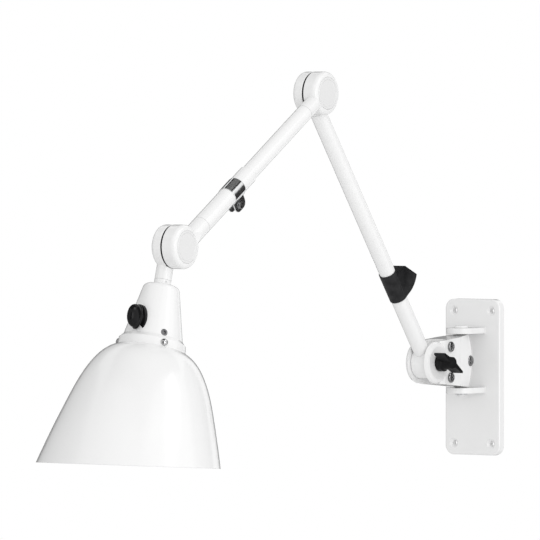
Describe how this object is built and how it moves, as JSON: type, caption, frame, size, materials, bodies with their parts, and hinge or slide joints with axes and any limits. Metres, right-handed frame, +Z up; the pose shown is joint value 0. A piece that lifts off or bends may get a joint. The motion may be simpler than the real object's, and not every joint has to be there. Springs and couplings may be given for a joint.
{
  "type": "wall lamp",
  "caption": "Articulating wall lamp: wall plate with swivel knuckle, tubular arms with round friction joints, a turning forearm and a deep bell shade with a rotary switch.",
  "frame": {"origin": "centre of the wall plate's back face", "axes": "+Z up, +Y into the wall, -Y out into the room, +X to the right for someone facing the wall"},
  "size_m": [0.1724, 0.6816, 0.3833],
  "materials": {
    "white_coat": "semi-gloss powder coat",
    "zinc_steel": "zinc plated",
    "dark_steel": "dark polished",
    "black_plastic": "fine matt",
    "black_rubber": "matt",
    "brass": "plain",
    "pale_plastic": "matt",
    "porcelain": "glazed",
    "nickel_steel": "nickel plated"
  },
  "bodies": {
    "wall_mount": {"wall_plate": "white_coat", "upper_lug": "white_coat", "lower_lug": "white_coat", "hinge_pin": "white_coat", "pin_clip": "zinc_steel", "hinge_washers": "pale_plastic"},
    "swivel": {"swivel_block": "white_coat", "front_cheek": "white_coat", "cheek_screws": "dark_steel", "swivel_set_screw": "dark_steel", "tilt_bolt": "zinc_steel", "tilt_washers": "pale_plastic"},
    "tilt_knob": {"wing_knob": "black_plastic", "knob_insert": "brass"},
    "lower_arm": {"arm_eye": "white_coat", "lower_arm_tube": "white_coat", "cable_outlet": "black_plastic", "elbow_rear_housing": "white_coat", "elbow_rear_cap": "white_coat", "elbow_bolt": "zinc_steel", "elbow_nut": "zinc_steel", "elbow_spring_washer": "zinc_steel", "elbow_gasket": "black_rubber"},
    "upper_arm": {"elbow_front_housing": "white_coat", "elbow_front_cap": "white_coat", "upper_arm_tube": "white_coat"},
    "forearm": {"forearm_sleeve": "white_coat", "clamp_band": "dark_steel", "clamp_screw": "dark_steel", "clamp_nut": "dark_steel", "head_front_housing": "white_coat", "head_front_cap": "white_coat"},
    "head_arm": {"head_rear_housing": "white_coat", "head_rear_cap": "white_coat", "head_gasket": "black_rubber", "head_bolt": "zinc_steel", "head_nut": "zinc_steel", "head_spring_washer": "zinc_steel", "head_stem": "zinc_steel", "stem_nut": "zinc_steel"},
    "lamp_head": {"neck_collar": "white_coat", "neck_set_screw": "zinc_steel", "lamp_housing": "white_coat", "housing_screws": "dark_steel", "shade_screws": "dark_steel", "lampholder_ring": "zinc_steel", "lampholder_body": "porcelain", "holder_screws": "zinc_steel", "socket_shell": "nickel_steel", "centre_contact": "brass", "shade": "white_coat", "shade_collar": "zinc_steel", "switch_flange": "black_plastic", "switch_body": "black_plastic", "switch_nut": "zinc_steel"},
    "rotary_switch": {"switch_knob": "black_plastic", "switch_shaft": "black_plastic"}
  },
  "joints": [
    {"name": "swivel", "type": "hinge", "parent": "wall_mount", "child": "swivel", "pos_m": [0, -0.028, 0.017], "axis": [0, 0, 1], "range_deg": [-75, 75]},
    {"name": "knob_turn", "type": "hinge", "parent": "swivel", "child": "tilt_knob", "pos_m": [0, -0.0904, 0.017], "axis": [1, 0, 0], "range_deg": [0, 360]},
    {"name": "lower_tilt", "type": "hinge", "parent": "swivel", "child": "lower_arm", "pos_m": [0, -0.0904, 0.017], "axis": [1, 0, 0], "range_deg": [-47, 80]},
    {"name": "elbow", "type": "hinge", "parent": "lower_arm", "child": "upper_arm", "pos_m": [0, -0.29401, 0.28428], "axis": [1, 0, 0], "range_deg": [-84, 60]},
    {"name": "forearm_twist", "type": "hinge", "parent": "upper_arm", "child": "forearm", "pos_m": [0.0151, -0.42163, 0.20546], "axis": [0, -0.8508, -0.5255], "range_deg": [-150, 150]},
    {"name": "head_tilt", "type": "hinge", "parent": "forearm", "child": "head_arm", "pos_m": [0, -0.52833, 0.13956], "axis": [1, 0, 0], "range_deg": [-100, 80]},
    {"name": "head_turn", "type": "hinge", "parent": "head_arm", "child": "lamp_head", "pos_m": [0, -0.53837, 0.10499], "axis": [0, -0.279, -0.9603], "range_deg": [-170, 170]},
    {"name": "switch_turn", "type": "hinge", "parent": "lamp_head", "child": "rotary_switch", "pos_m": [0, -0.5497, 0.06601], "axis": [0, -0.9603, 0.279], "range_deg": [0, 90]}
  ]
}
